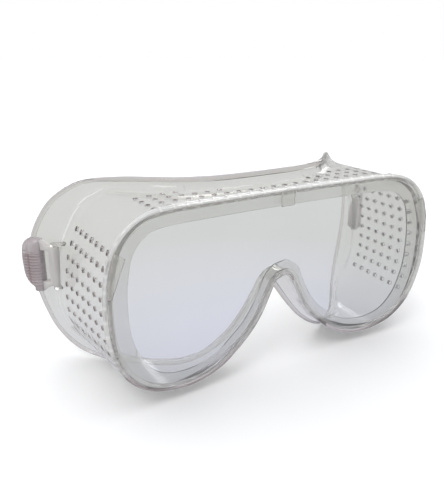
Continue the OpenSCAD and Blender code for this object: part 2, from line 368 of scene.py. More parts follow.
def levels(path):
    """Positions along a path: the rim's back, the vent grid's levels, then evenly to the neck."""
    out = [path.back]
    for k in range(VENT_LEVELS):
        s = max(VENT_FIRST + k * LEVEL_STEP, path.back + LEAST_STEP * (k + 1))
        if s > path.crease:
            break
        out.append(s)
    rest = 1 + VENT_LEVELS + EXTRA_LEVELS - len(out)
    last = out[-1]
    out += [last + (path.neck - last) * (k + 1) / rest for k in range(rest)]
    return out


def rim_index(u):
    """Index on the eye ring that faces this station of the wall."""
    w = ring_at(wall_ring, u)
    half = len(eye_ring) // 2
    part = rim_ring[:half + 1] if u <= HALF else np.roll(rim_ring, -half, axis=0)[:half + 1]
    k = int(np.argmin(np.linalg.norm(part - w, axis=1)))
    return k if u <= HALF else k + half


def smoothed_rim_indices():
    """Rim indices for the right half, smoothed so that the rim has no sudden steps."""
    us = right_u + [float(HALF)]
    raw = np.array([rim_index(u) for u in us], float)
    flat = len(top_u)
    smooth = raw.copy()
    for _ in range(6):
        smooth[flat:-1] = (smooth[flat - 1:-2] + smooth[flat:-1] * 2 + smooth[flat + 1:]) / 4
    return list(smooth) + [len(eye_ring) - m for m in reversed(smooth[:-1])]


def on_right(i):
    """Station i, or the station of the right half that mirrors it."""
    return min(i, N - 1 - i)


def stretch(i):
    """Where station i is: 0 on the top with its corners, 1 on a side, 2 on the bottom."""
    k = on_right(i)
    return 0 if k < first_side else 1 if k < first_side + len(side_u) else 2


def off_line(at):
    """Distance to the nearest vent line, from a distance to any one of them."""
    return abs((at / VENT_PITCH + 0.5) % 1 - 0.5) * VENT_PITCH


def rib_height(i):
    """How far the rim's outer face stands up at station i, for the moulded cross ribs."""
    k = on_right(i)
    x, z = ring_at(wall_ring, stations[k])
    if k < len(top_u):
        return RIB_TOP if off_line(x) < RIB_HALF_W else 0.0
    if stretch(i) == 1:
        return RIB_SIDE if off_line(z - VENT_Z0) < RIB_HALF_W else 0.0
    return 0.0


def rim_profile(m, rib):
    """Points of the rim's section, from its rear outer corner over the front to the back."""
    eye, lip = ring_at(eye_ring, m), ring_at(lip_ring, m)
    groove, rim = ring_at(groove_ring, m), ring_at(rim_ring, m)
    n = ring_at(eye_out, m)
    n = n / np.linalg.norm(n)
    back = RIM_SIDE_TAPER * n[0] ** 2 * unit((eye[1] - TAPER_FROM_Z) / TAPER_RISE)

    def at(base, out, depth):
        p = base + n * out
        return np.array([p[0], front_y(p[0]) + depth, p[1]])

    corner = RIM_CORNER
    pts = [at(rim, -0.3 - back, RIM_DEPTH), at(rim, rib * 0.5 - back, RIM_DEPTH - 0.22),
           at(rim, rib - back * 0.75, RIM_DEPTH - 0.6), at(rim, rib, corner + 0.3)]
    for deg in (15, 35, 55, 75, 90):
        a = math.radians(deg)
        pts.append(at(rim, -corner + math.cos(a) * (corner + rib * (1 - deg / 90)),
                      corner - math.sin(a) * corner))
    span = np.dot(rim - lip, n)
    for f in (0.3, 0.6, 0.85):
        pts.append(at(rim, -corner - (span - corner - 0.3) * f, 0.05 * math.sin(math.pi * f)))
    pts += [at(lip, 0.28, 0.0), at(lip, 0.09, 0.09), at(lip, 0.0, 0.28),
            at(lip, 0.0, LIP_DEPTH - 0.15), at(lip, 0.15, LIP_DEPTH)]
    seat = LIP_DEPTH + LENS_T + 2 * LENS_GAP
    pts += [at(groove, -0.05, LIP_DEPTH), at(groove, 0, LIP_DEPTH + 0.05),
            at(groove, 0, seat - 0.05), at(groove, -0.05, seat),
            at(eye, 1.5, seat), at(eye, 0.2, seat), at(eye, 0.05, seat + 0.06),
            at(eye, 0, seat + 0.2), at(eye, 0, RIM_DEPTH - 0.1),
            at(eye, 0.1, RIM_DEPTH + 0.02), at(eye, 0.5, RIM_DEPTH + 0.05),
            at(eye, 2.2, RIM_DEPTH + 0.05)]
    return pts


def skin_thickness(count):
    """Wall thickness at each level, thinning a little towards the flange's edge."""
    t = np.full(count, WALL_T)
    t[count - THINNING_LEVELS:] = np.linspace(WALL_T, EDGE_T, THINNING_LEVELS)
    return t


def rim_frost(i, j, rib):
    """How much painted highlight the rim's point j gets at station i: its front corner, ribs and lip
    edge.
    """
    where = stretch(i)
    if rib > 0 and j < FRONT_CORNER.stop:
        return RIB_HIGHLIGHT[where]
    if j in FRONT_CORNER:
        return CORNER_HIGHLIGHT[where]
    if j in LIP_EDGE:
        return LIP_HIGHLIGHT[where]
    return REAR_HIGHLIGHT if j < FRONT_CORNER.start else INNER_HIGHLIGHT


def bead_points(line, out):
    """The bead past the end of a line of outside points, from its inner face round."""
    along = line[-1] - line[-2]
    along = along / np.linalg.norm(along)
    centre = line[-1] - out * EDGE_T / 2 + along * BEAD_OUT
    return [centre + BEAD_T / 2 * (math.cos(a) * along + math.sin(a) * out)
            for a in BEAD_ANGLES[::-1]]


def drilled(u, s, depth):
    """A point straight through the wall at ring index u and position s along the path."""
    path = Path(u)
    return path.at(s) - np.array([path.out[0], 0, path.out[1]]) * depth * WALL_T


def bands(rings):
    """Quads that join each closed ring of points to the next."""
    return [(a[j], a[(j + 1) % len(a)], b[(j + 1) % len(a)], b[j])
            for a, b in zip(rings, rings[1:]) for j in range(len(a))]


class MaskSkin:
    """The mask as points, faces and marks of painted highlight and shade: one closed section at each
    station.
    """

    def __init__(self):
        self.paths = [Path(u) for u in stations]
        self.levels = [levels(p) for p in self.paths]
        self.count = len(self.levels[0])
        self.rim_points = len(rim_profile(0, 0))
        self.index_of = {round(u, 3): i for i, u in enumerate(stations)}
        self.verts, self.faces, self.rows = [], [], []
        self.frost, self.shade = {}, {}
        self.cut = set()

    def outer_k(self, k):
        """Where the outside's level k is in a section."""
        return self.count - 1 - k

    def inner_k(self, k):
        """Where the inside's level k is in a section."""
        return self.count + self.rim_points + k

    def grids(self):
        """The skin's outside points, inside points and outward normals, [station, level]."""
        outer = np.array([[p.at(s) for s in ls] for p, ls in zip(self.paths, self.levels)])
        along = np.roll(outer, -1, axis=0) - np.roll(outer, 1, axis=0)
        down = np.empty_like(outer)
        down[:, 1:-1] = outer[:, 2:] - outer[:, :-2]
        down[:, 0] = outer[:, 1] - outer[:, 0]
        down[:, -1] = outer[:, -1] - outer[:, -2]
        out = np.cross(along, down)
        out /= np.linalg.norm(out, axis=2)[:, :, None]
        out *= np.sign(out[0, 2, 2])
        return outer, outer - out * skin_thickness(self.count)[None, :, None], out

    def add_sections(self):
        """The outside, the rim, the inside and the bead of each station, in one loop."""
        outer, inner, out = self.grids()
        rims = smoothed_rim_indices()
        for i, path in enumerate(self.paths):
            start = len(self.verts)
            # Painted highlight along the crease's fold, on the corners and on the sides
            if len(top_u) <= on_right(i) < first_side + len(side_u):
                fold = int(np.argmin(np.abs(np.array(self.levels[i]) - path.crease)))
                self.frost[start + self.outer_k(fold)] = CREASE_HIGHLIGHT
            rib = rib_height(i)
            rim = rim_profile(rims[i], rib)
            # Painted highlight over the rim's section, and painted shade on its front corner low down
            low = ring_at(wall_ring, stations[i])[1] < LOW_RIM_Z
            for j in range(len(rim)):
                self.frost[start + self.count + j] = rim_frost(i, j, rib)
                if low and j < FRONT_CORNER.stop:
                    self.shade[start + self.count + j] = BOTTOM_SHADE
            section = [*outer[i, ::-1], *rim, *inner[i]]
            bead = bead_points(outer[i], out[i, -1])
            # Painted shade on the bead
            for p in range(len(bead)):
                self.shade[start + len(section) + p] = BEAD_SHADE
            section += bead
            self.rows.append(list(range(start, start + len(section))))
            self.verts += section

    def cut_cell(self, first, last, row, drill):
        """Cuts one vent through the skin between two stations, at one row of levels."""
        lo, hi = 1 + row * CELL_STEPS, 1 + (row + 1) * CELL_STEPS
        span = [(first + d) % N for d in range((last - first) % N + 1)]
        for i in span[:-1]:
            for k in range(lo, hi):
                self.cut |= {(i, self.outer_k(k + 1)), (i, self.inner_k(k))}
        loop = ([(i, lo) for i in span[:-1]] + [(span[-1], k) for k in range(lo, hi)]
                + [(i, hi) for i in reversed(span[1:])]
                + [(span[0], k) for k in range(hi, lo, -1)])
        rings = [[self.rows[i][self.outer_k(k)] for i, k in loop]]
        # Painted shade near each vent's outer mouth and painted highlight near its inner mouth
        for wider, depth, frost, shade in VENT_RINGS:
            start = len(self.verts)
            self.verts += [drill(i, k, VENT_R + wider, depth) for i, k in loop]
            rings.append(list(range(start, len(self.verts))))
            for v in rings[-1]:
                self.frost[v], self.shade[v] = frost, shade
        rings.append([self.rows[i][self.inner_k(k)] for i, k in loop])
        self.faces += bands(rings)

    def top_vent(self, column, row):
        """One vent of the top's grid; columns count from the mid-plane, rows from the rim."""
        xc, yc = column * VENT_PITCH, VENT_Y + row * VENT_PITCH
        first, last = [self.index_of[round(index_at_x(x), 3)]
                       for x in (xc - VENT_PITCH / 2, xc + VENT_PITCH / 2)]

        def drill(i, k, radius, depth):
            x = ring_at(wall_ring, stations[i])[0]
            a = math.atan2(self.levels[i][k] - yc, x - xc)
            return drilled(index_at_x(xc + radius * math.cos(a)), yc + radius * math.sin(a), depth)
        self.cut_cell(first, last, row, drill)

    def side_vent(self, side, column, row):
        """One vent of a side's grid; columns count from the rim, rows from the bottom."""
        zc, yc = VENT_Z0 + row * VENT_PITCH, VENT_Y + column * VENT_PITCH
        first, last = [self.index_of[round(index_at_z(side, z), 3)]
                       for z in (zc + side * VENT_PITCH / 2, zc - side * VENT_PITCH / 2)]

        def drill(i, k, radius, depth):
            z = ring_at(wall_ring, stations[i])[1]
            a = math.atan2(z - zc, self.levels[i][k] - yc)
            u = index_at_z(side, zc + radius * math.sin(a))
            return drilled(u, yc + radius * math.cos(a), depth)
        self.cut_cell(first, last, column, drill)

    def join_sections(self):
        """Faces between neighbouring sections, except where a vent is cut."""
        size = len(self.rows[0])
        for i in range(N):
            here, there = self.rows[i], self.rows[(i + 1) % N]
            for k in range(size):
                kn = (k + 1) % size
                if (i, k) not in self.cut:
                    self.faces.append((here[k], here[kn], there[kn], there[k]))


def mask_mesh():
    """Points, faces and marks of the moulded mask with all its vents."""
    skin = MaskSkin()
    skin.add_sections()
    for column in range(-TOP_HALF_COLUMNS, TOP_HALF_COLUMNS + 1):
        room = crease_depth(column * VENT_PITCH, TOP_Z) - VENT_MARGIN
        for row in range(TOP_ROWS):
            if VENT_Y + row * VENT_PITCH < room:
                skin.top_vent(column, row)
    for side, _ in SIDES:
        for column in range(SIDE_COLUMNS):
            for row in range(SIDE_ROWS):
                skin.side_vent(side, column, row)
    skin.join_sections()
    return skin.verts, skin.faces, {"frost": skin.frost, "shade": skin.shade}


def linked(name, mesh, smooth_angle):
    """An object in the scene, shaded smooth except across edges sharper than an angle."""
    for p in mesh.polygons:
        p.use_smooth = True
    mesh.set_sharp_from_angle(angle=math.radians(smooth_angle))
    ob = bpy.data.objects.new(name, mesh)
    bpy.context.scene.collection.objects.link(ob)
    return ob


def new_object(name, verts, faces, smooth_angle=35, marks=None):
    """A mesh object in the row frame; marks are point attributes, {name: {point: value}}."""
    mesh = bpy.data.meshes.new(name)
    mesh.from_pydata([to_frame(*v) for v in verts], [], faces)
    for mark, values in (marks or {}).items():
        attribute = mesh.attributes.new(mark, "FLOAT", "POINT")
        for at, value in values.items():
            attribute.data[at].value = value
    mesh.validate()
    bm = bmesh.new()
    bm.from_mesh(mesh)
    loose = [v for v in bm.verts if not v.link_faces]
    bmesh.ops.delete(bm, geom=loose, context="VERTS")
    bmesh.ops.recalc_face_normals(bm, faces=bm.faces)
    bm.to_mesh(mesh)
    bm.free()
    return linked(name, mesh, smooth_angle)
def ring_fill(name, outline, y_of, thickness, columns=110, rows=36):
    """A thin sheet that follows the front face, bounded by one closed outline."""
    half = len(outline) // 2
    right = outline[:half + 1]
    widest = int(np.argmax(right[:, 0]))
    upper, lower = right[:widest + 1], right[widest:][::-1]
    x_max = right[widest, 0]
    angles = np.linspace(-math.pi / 2, math.pi / 2, columns + 1)
    xs = x_max * np.sin(angles)
    verts, faces = [], []
    edge = 0.18

    def column(x, inset, depth):
        top = np.interp(abs(x), upper[:, 0], upper[:, 1]) - inset
        bottom = np.interp(abs(x), lower[:, 0], lower[:, 1]) + inset
        if top < bottom:
            top = bottom = (top + bottom) / 2
        f = 0.5 - 0.5 * np.cos(np.linspace(0, math.pi, rows + 1))
        return [(x * (1 - inset / x_max), y_of(x) + depth, bottom + (top - bottom) * t) for t in f]

    layers = [(edge, 0.0), (0.0, edge), (0.0, thickness - edge), (edge, thickness)]
    grids = []
    for inset, depth in layers:
        grid = []
        for x in xs:
            grid.append(list(range(len(verts), len(verts) + rows + 1)))
            verts += column(x, inset, depth)
        grids.append(grid)
    front, back = grids[0], grids[3]
    for i in range(columns):
        for k in range(rows):
            faces.append((front[i][k], front[i + 1][k], front[i + 1][k + 1], front[i][k + 1]))
            faces.append((back[i][k], back[i][k + 1], back[i + 1][k + 1], back[i + 1][k]))

    def boundary(grid):
        return ([grid[i][0] for i in range(columns)] + [grid[columns][k] for k in range(rows)]
                + [grid[i][rows] for i in range(columns, 0, -1)]
                + [grid[0][k] for k in range(rows, 0, -1)])
    loops = [boundary(g) for g in grids]
    for a, b in zip(loops, loops[1:]):
        for j in range(len(a)):
            jn = (j + 1) % len(a)
            faces.append((a[j], b[j], b[jn], a[jn]))
    return new_object(name, verts, faces)


def mark_edge(ob, index, facing=0.6):
    """Gives a sheet's cut edge, the faces that look neither forwards nor back, a material."""
    for p in ob.data.polygons:
        p.material_index = 0 if abs(p.normal.y) > facing else index


def plate(name, outline, back, front, turn_in=0.25, step=0.7):
    """A small plate on the front face, between two depths; its back edge turns in."""
    centre = np.mean(outline, axis=0)
    dense = []
    for i in range(len(outline)):
        a, b = np.array(outline[i]), np.array(outline[(i + 1) % len(outline)])
        steps = max(1, int(np.linalg.norm(b - a) / step))
        dense += [a + (b - a) * k / steps for k in range(steps)]
    dense = np.array(dense, float)
    toward = (centre - dense) / np.linalg.norm(centre - dense, axis=1)[:, None]
    verts, rings = [], []
    for inset, y in ((0.0, front), (0.0, back + turn_in), (0.3, back + turn_in * 0.3),
                     (1.0, back)):
        rings.append(list(range(len(verts), len(verts) + len(dense))))
        verts += [(p[0], front_y(p[0]) + y, p[1]) for p in dense + toward * inset * turn_in]
    faces = bands(rings) + [tuple(rings[-1]), tuple(reversed(rings[0]))]
    # Painted highlight on the tab's buried back and painted shade along its edge
    marks = {"frost": {v: TAB_HIGHLIGHT for v in rings[3]}, "shade": {v: TAB_SHADE for v in rings[1]}}
    return new_object(name, verts, faces, 50, marks)


# ---- The swinging strap clips, in their own frame: hinge axis on Z, pointing along +X ----

HINGE = (79.2, 44.6, 39.5)
CLIP_FOLD = 45
HINGE_BAR_H, HINGE_BAR_D = 16.5, 3.6
SLOT_H, SLOT_W = 13.0, 3.6
FRAME_T = 3.0
# Heights of the arms' outer corners at the grip
ARM_TOP, ARM_BOTTOM = 10.7, -10.62
SLOT_X = HINGE_BAR_D / 2 + 0.3
GRIP_X = SLOT_X + SLOT_W

GRIP_H, GRIP_W, GRIP_T = 22.0, 8.4, 6.6
# The grip's outline, (share of width, share of height). Not the CAD's: it stands up to
# 1.5 mm outside that, most of all at the lower taper.
GRIP_EDGE = [(0, 0.47), (0.17, 0.505), (0.45, 0.515), (0.74, 0.46), (0.96, 0.35), (1.06, 0.18),
             (1.06, 0.0), (0.98, -0.18), (0.82, -0.31), (0.6, -0.4), (0.3, -0.46),
             (0, -0.485), (-0.1, -0.2), (-0.14, 0), (-0.1, 0.2)]
# Each lobe, (share of width, radius less than half the thickness), and their seam
LOBES = [(0.3, 0), (0.68, 0.3)]
SEAM_X, SEAM_W = 4.4, 0.45
GRIP_RIBS, RIB_PITCH, RIBS_Z, GROOVE_DEPTH = 11, 1.22, -1.45, 0.5
RIBS_LOW = RIBS_Z - GRIP_RIBS / 2 * RIB_PITCH
RIBS_HIGH = RIBS_LOW + GRIP_RIBS * RIB_PITCH
# How far in from its outline the grip rounds off; over the slot, from its two ends only
DOME, DOME_LOW, DOME_SIDE_X = 3.4, 1.5, 2.5
GRIP_COLUMNS, TAPER_RINGS, CAP_RINGS = 30, 14, 22
# The two small pits in the cap: places, width, height and depth
PITS = [(2.7, RIBS_HIGH + 0.5), (6.2, RIBS_HIGH + 0.9)]
PIT_W, PIT_H, PIT_DEPTH = 0.75, 0.34, 1.1


def place_clip(ob, side):
    """Moves a clip piece from its own frame, hinge axis on Z and pointing +X, to its side."""
    turn = Matrix.Rotation(math.radians(CLIP_FOLD), 4, "Z")
    place = Matrix.Translation(to_frame(*HINGE)) @ turn
    if side < 0:
        place = Matrix.Scale(-1, 4, (1, 0, 0)) @ place
    ob.data.transform(place)
    if side < 0:
        ob.data.flip_normals()


def local_object(name, bm, smooth_angle=35):
    """An object from a bmesh whose points are millimetres in the clip's own frame."""
    bmesh.ops.recalc_face_normals(bm, faces=bm.faces)
    mesh = bpy.data.meshes.new(name)
    bm.to_mesh(mesh)
    bm.free()
    mesh.transform(Matrix.Scale(MM, 4))
    return linked(name, mesh, smooth_angle)


def rounded(points, radius, steps=5):
    """A closed outline with its corners rounded off."""
    out = []
    n = len(points)
    for i in range(n):
        p = np.array(points[i], float)
        a, b = np.array(points[i - 1]) - p, np.array(points[(i + 1) % n]) - p
        la, lb = np.linalg.norm(a), np.linalg.norm(b)
        cut = min(radius, la * 0.45, lb * 0.45)
        s, e = p + a / la * cut, p + b / lb * cut
        for k in range(steps + 1):
            t = k / steps
            out.append(s * (1 - t) ** 2 + p * 2 * t * (1 - t) + e * t * t)
    return np.array(out)


def grown(points, by):
    """A closed outline moved outwards by a small distance."""
    area = np.sum(points[:, 0] * np.roll(points[:, 1], -1) - np.roll(points[:, 0], -1) * points[:, 1])
    t = np.roll(points, -1, axis=0) - np.roll(points, 1, axis=0)
    n = np.stack([t[:, 1], -t[:, 0]], 1) * (1 if area > 0 else -1)
    return points + n / np.linalg.norm(n, axis=1)[:, None] * by


def clip_frame(name, side):
    """The slotted frame: two widening arms between the hinge bar and the grip."""
    end_x = GRIP_X + 0.3
    bar = HINGE_BAR_H / 2 - 0.05
    outer = rounded([(0.5, bar), (SLOT_X, bar), (end_x, ARM_TOP), (end_x, ARM_BOTTOM),
                     (SLOT_X, -bar),
                     (0.5, -bar)], 0.8)
    inner = rounded([(SLOT_X, SLOT_H / 2), (GRIP_X - 0.1, SLOT_H / 2),
                     (GRIP_X - 0.1, -SLOT_H / 2), (SLOT_X, -SLOT_H / 2)], 0.7)
    half_t = FRAME_T / 2
    steps = [(-half_t, 0.4), (-half_t + 0.12, 0.14), (-half_t + 0.4, 0),
             (half_t - 0.4, 0), (half_t - 0.12, 0.14), (half_t, 0.4)]
    bm = bmesh.new()
    face_edges = {0: [], len(steps) - 1: []}
    for outline, sign in ((outer, -1), (inner, 1)):
        rings = []
        for y, soft in steps:
            rings.append([bm.verts.new((p[0], y, p[1])) for p in grown(outline, sign * soft)])
        n = len(outline)
        for quad in bands(rings):
            bm.faces.new(quad)
        for end in face_edges:
            ring = rings[end]
            face_edges[end] += [bm.edges.get((ring[j], ring[(j + 1) % n])) for j in range(n)]
    for edges in face_edges.values():
        bmesh.ops.triangle_fill(bm, edges=edges, use_beauty=True)
    ob = local_object(name, bm)
    place_clip(ob, side)
    return ob


def turned(bm, profile, segments=40):
    """A closed solid turned about Z from (radius, z) points that start and end on the axis."""
    rings = []
    for r, z in profile:
        if r == 0:
            rings.append([bm.verts.new((0, 0, z))])
        else:
            turns = [2 * math.pi * k / segments for k in range(segments)]
            rings.append([bm.verts.new((r * math.cos(t), r * math.sin(t), z)) for t in turns])
    for a, b in zip(rings, rings[1:]):
        for k in range(segments):
            kn = (k + 1) % segments
            loop = [a[k % len(a)], a[kn % len(a)], b[kn % len(b)], b[k % len(b)]]
            clean = [v for j, v in enumerate(loop) if v not in loop[:j]]
            bm.faces.new(clean)


def hinge_bar(name, side):
    """The round bar of the clip that turns on the mask's pin."""
    r, h = HINGE_BAR_D / 2, HINGE_BAR_H / 2
    bm = bmesh.new()
    turned(bm, [(0, -h), (r - 0.4, -h), (r - 0.12, -h + 0.12), (r, -h + 0.4),
                (r, -h / 2), (r, 0), (r, h / 2),
                (r, h - 0.4), (r - 0.12, h - 0.12), (r - 0.4, h), (0, h)])
    ob = local_object(name, bm)
    place_clip(ob, side)
    return ob


def grip_span(outline, z):
    """The lowest and highest x of the grip's outline at a height."""
    xs = []
    for a, b in zip(outline, np.roll(outline, -1, axis=0)):
        if (a[1] - z) * (b[1] - z) <= 0 and a[1] != b[1]:
            xs.append(a[0] + (b[0] - a[0]) * (z - a[1]) / (b[1] - a[1]))
    return min(xs), max(xs)


def rib_wave(z):
    """1 in the grooves beside the grip's ribs, 0 on their crests."""
    return (0.5 + 0.5 * math.cos(2 * math.pi * ((z - RIBS_LOW) / RIB_PITCH % 1))) ** 1.4


def grip_heights(low, high):
    """Heights of the grip's rings: close together at both ends, seven to a rib between."""
    ribs = [RIBS_LOW + (k + f) * RIB_PITCH for k in range(GRIP_RIBS)
            for f in (0, 0.13, 0.26, 0.4, 0.6, 0.74, 0.87)] + [RIBS_HIGH]
    below = [low + (RIBS_LOW - low) * (1 - math.cos(math.pi * k / (2 * TAPER_RINGS)))
             for k in range(1, TAPER_RINGS)]
    above = [high - (high - RIBS_HIGH) * (1 - math.cos(math.pi * k / (2 * CAP_RINGS)))
             for k in range(CAP_RINGS - 1, 0, -1)]
    return ([z for z in below if z < RIBS_LOW - LEAST_STEP] + ribs
            + [z for z in above if z > RIBS_HIGH + LEAST_STEP])


def lobe_depth(x):
    """Half thickness of the two lobes, which meet in the seam."""
    depths = []
    for at, less in LOBES:
        r = GRIP_T / 2 - less
        depths.append(math.sqrt(max(r * r - (x - at * GRIP_W) ** 2, 0)))
    return max(depths)


def grip_depth(x, z, outline, low, high):
    """Half thickness of the grip at a place on its face, with its ribs and rounded edges."""
    edge = np.hypot(outline[:, 0] - x, outline[:, 1] - z).min() / DOME
    if x < DOME_SIDE_X:
        edge = max(edge, min((high - z) / DOME, (z - low) / DOME_LOW))
    fall = math.sqrt(1 - (1 - min(edge, 1)) ** 2)
    groove = GROOVE_DEPTH * rib_wave(z) if RIBS_LOW < z < RIBS_HIGH else 0
    return max(lobe_depth(x) * fall - groove * fall, 0)


def pit_depth(x, z):
    """Depth of the cap's pits at a place on its front."""
    return PIT_DEPTH * sum(math.exp(-((x - px) / PIT_W) ** 2 - ((z - pz) / PIT_H) ** 2)
                           for px, pz in PITS)


def groove_tone_and_shade(x, z):
    """How dark the grip is painted at a place: a darker tone over its ribbed part, fading in from the
    slot, with painted shade in its grooves and its seam.
    """
    seam = math.exp(-((x - SEAM_X) / SEAM_W) ** 2)
    if not RIBS_LOW < z < RIBS_HIGH:
        return 0.3 * seam
    return max(unit((x + 0.5) / 3.5) * (0.25 + 0.5 * rib_wave(z)), 1.5 * seam)


def grip_barrel(name, side):
    """The ribbed grip: two lobed faces with a seam between, domed above, tapered below."""
    outline = spline([(x * GRIP_W, z * GRIP_H) for x, z in GRIP_EDGE], 12)
    low, high = outline[:, 1].min() + 0.02, outline[:, 1].max() - 0.02
    bm = bmesh.new()
    rings = []
    for z in grip_heights(low, high):
        x0, x1 = grip_span(outline, z)
        if abs(z) > SLOT_H / 2:
            x0 = max(x0, -0.25)
        front, back = [], []
        for k in range(GRIP_COLUMNS + 1):
            x = x0 + (x1 - x0) * (1 - math.cos(math.pi * k / GRIP_COLUMNS)) / 2
            y = grip_depth(x, z, outline, low, high)
            front.append((x, -max(y - pit_depth(x, z), 0), z))
            if 0 < k < GRIP_COLUMNS:
                back.append((x, y, z))
        rings.append([bm.verts.new(p) for p in front + back[::-1]])
    for quad in bands(rings):
        bm.faces.new(quad)
    n = len(rings[0])
    for ring, lift in ((rings[0], -0.01), (rings[-1], 0.01)):
        tip = bm.verts.new(Vector(np.mean([v.co for v in ring], axis=0)) + Vector((0, 0, lift)))
        for k in range(n):
            bm.faces.new((ring[k], ring[(k + 1) % n], tip))
    # The groove attribute carries the grip's darker ribbed tone and its painted shade
    marks = [groove_tone_and_shade(v.co.x, v.co.z) for v in bm.verts]
    for v in bm.verts:
        v.co.x += GRIP_X
    ob = local_object(name, bm, 60)
    attribute = ob.data.attributes.new("groove", "FLOAT", "POINT")
    attribute.data.foreach_set("value", marks)
    place_clip(ob, side)
    return ob


# ---- Materials ----

def nodes_of(name):
    """A material with one Principled shader: material, tree, shader, coordinates."""
    mat = bpy.data.materials.new(name)
    mat.use_nodes = True
    tree = mat.node_tree
    tree.nodes.clear()
    out = tree.nodes.new("ShaderNodeOutputMaterial")
    out.name = "Material Output"
    shader = tree.nodes.new("ShaderNodeBsdfPrincipled")
    tree.links.new(shader.outputs[0], out.inputs["Surface"])
    coords = tree.nodes.new("ShaderNodeTexCoord")
    return mat, tree, shader, coords


def noise_node(tree, coords, scale, detail=3):
    tex = tree.nodes.new("ShaderNodeTexNoise")
    tex.inputs["Scale"].default_value = scale
    tex.inputs["Detail"].default_value = detail
    tree.links.new(coords.outputs["Object"], tex.inputs["Vector"])
    return tex


def ramp_node(tree, source, stops):
    ramp = tree.nodes.new("ShaderNodeValToRGB")
    while len(ramp.color_ramp.elements) < len(stops):
        ramp.color_ramp.elements.new(0.5)
    for element, (at, colour) in zip(ramp.color_ramp.elements, stops):
        element.position = at
        element.color = (*colour, 1)
    tree.links.new(source, ramp.inputs["Fac"])
    return ramp


def bump_node(tree, height, strength, distance):
    bump = tree.nodes.new("ShaderNodeBump")
    bump.inputs["Strength"].default_value = strength
    bump.inputs["Distance"].default_value = distance
    tree.links.new(height, bump.inputs["Height"])
    return bump


TINT_SCALE, WEAR_SCALE, FLOW_SCALE = 34, 140, 90


def clear_plastic(name, light, dark, transmission, rough, ior, bump_depth, absorb=None,
                  density=0):
    """Clear moulded plastic: slightly uneven tint, faint flow marks, darker where thick."""
    mat, tree, shader, coords = nodes_of(name)
    shader.inputs["Transmission Weight"].default_value = transmission
    shader.inputs["IOR"].default_value = ior
    tint = noise_node(tree, coords, TINT_SCALE)
    ramp = ramp_node(tree, tint.outputs["Fac"], [(0.3, dark), (0.7, light)])
    tree.links.new(ramp.outputs["Color"], shader.inputs["Base Color"])
    wear = noise_node(tree, coords, WEAR_SCALE, 4)
    gloss = tree.nodes.new("ShaderNodeMapRange")
    gloss.inputs["To Min"].default_value = rough * 0.6
    gloss.inputs["To Max"].default_value = rough * 1.5
    tree.links.new(wear.outputs["Fac"], gloss.inputs["Value"])
    tree.links.new(gloss.outputs["Result"], shader.inputs["Roughness"])
    flow = noise_node(tree, coords, FLOW_SCALE, 2)
    bump = bump_node(tree, flow.outputs["Fac"], 0.25, bump_depth)
    tree.links.new(bump.outputs["Normal"], shader.inputs["Normal"])
    if absorb:
        volume = tree.nodes.new("ShaderNodeVolumeAbsorption")
        volume.inputs["Color"].default_value = (*absorb, 1)
        volume.inputs["Density"].default_value = density
        out = tree.nodes["Material Output"]
        tree.links.new(volume.outputs[0], out.inputs["Volume"])
    return mat


def mix_in(mat, factor, colour, blend="MIX"):
    """Mixes a colour into a material's own by a node's factor."""
    tree = mat.node_tree
    shader = tree.nodes["Principled BSDF"]
    mix = tree.nodes.new("ShaderNodeMix")
    mix.data_type = "RGBA"
    mix.blend_type = blend
    source = shader.inputs["Base Color"].links[0].from_socket
    tree.links.new(factor, mix.inputs["Factor"])
    tree.links.new(source, mix.inputs["A"])
    mix.inputs["B"].default_value = (*colour, 1)
    tree.links.new(mix.outputs["Result"], shader.inputs["Base Color"])


def mark_factor(mat, mark_name):
    """The value of a mesh's point attribute."""
    mark = mat.node_tree.nodes.new("ShaderNodeAttribute")
    mark.attribute_name = mark_name
    return mark.outputs["Fac"]


def frosted(mat, white=(0.97, 0.97, 0.96), least_clear=0.25):
    """Paints highlight: makes plastic whiter and less clear where a mesh's highlight mark is high."""
    tree = mat.node_tree
    shader = tree.nodes["Principled BSDF"]
    frost = mark_factor(mat, "frost")
    mix_in(mat, frost, white)
    clear = tree.nodes.new("ShaderNodeMapRange")
    clear.inputs["To Min"].default_value = shader.inputs["Transmission Weight"].default_value
    clear.inputs["To Max"].default_value = least_clear
    tree.links.new(frost, clear.inputs["Value"])
    tree.links.new(clear.outputs["Result"], shader.inputs["Transmission Weight"])


def lower_tint(mat, colour, none_from=0.06, full_at=0.015):
    """Tints a sheet towards its lower edge, between two heights in metres."""
    tree = mat.node_tree
    split = tree.nodes.new("ShaderNodeSeparateXYZ")
    tree.links.new(tree.nodes["Texture Coordinate"].outputs["Object"], split.inputs[0])
    fade = tree.nodes.new("ShaderNodeMapRange")
    fade.inputs["From Min"].default_value = none_from
    fade.inputs["From Max"].default_value = full_at
    tree.links.new(split.outputs["Z"], fade.inputs["Value"])
    mix_in(mat, fade.outputs["Result"], colour, "MULTIPLY")


def darkened_by(mat, mark_name, colour):
    """Mixes a darker colour in where a mesh's attribute is high."""
    mix_in(mat, mark_factor(mat, mark_name), colour)


pvc = clear_plastic("clear_pvc", (0.985, 0.98, 0.955), (0.965, 0.96, 0.93), 0.9, 0.07, 1.38,
                    0.00015, (0.7, 0.64, 0.62), 16)
# Painted highlight on the mask and the tabs, whiter and less clear
frosted(pvc)
# Painted shade, darker and browner, on the mask and the tabs
darkened_by(pvc, "shade", (0.5, 0.39, 0.4))
lens_mat = clear_plastic("lens_polycarbonate", (0.965, 0.97, 0.965), (0.95, 0.955, 0.95),
                         0.98, 0.03, 1.33, 0.00004)
lower_tint(lens_mat, (0.955, 0.965, 1.0))
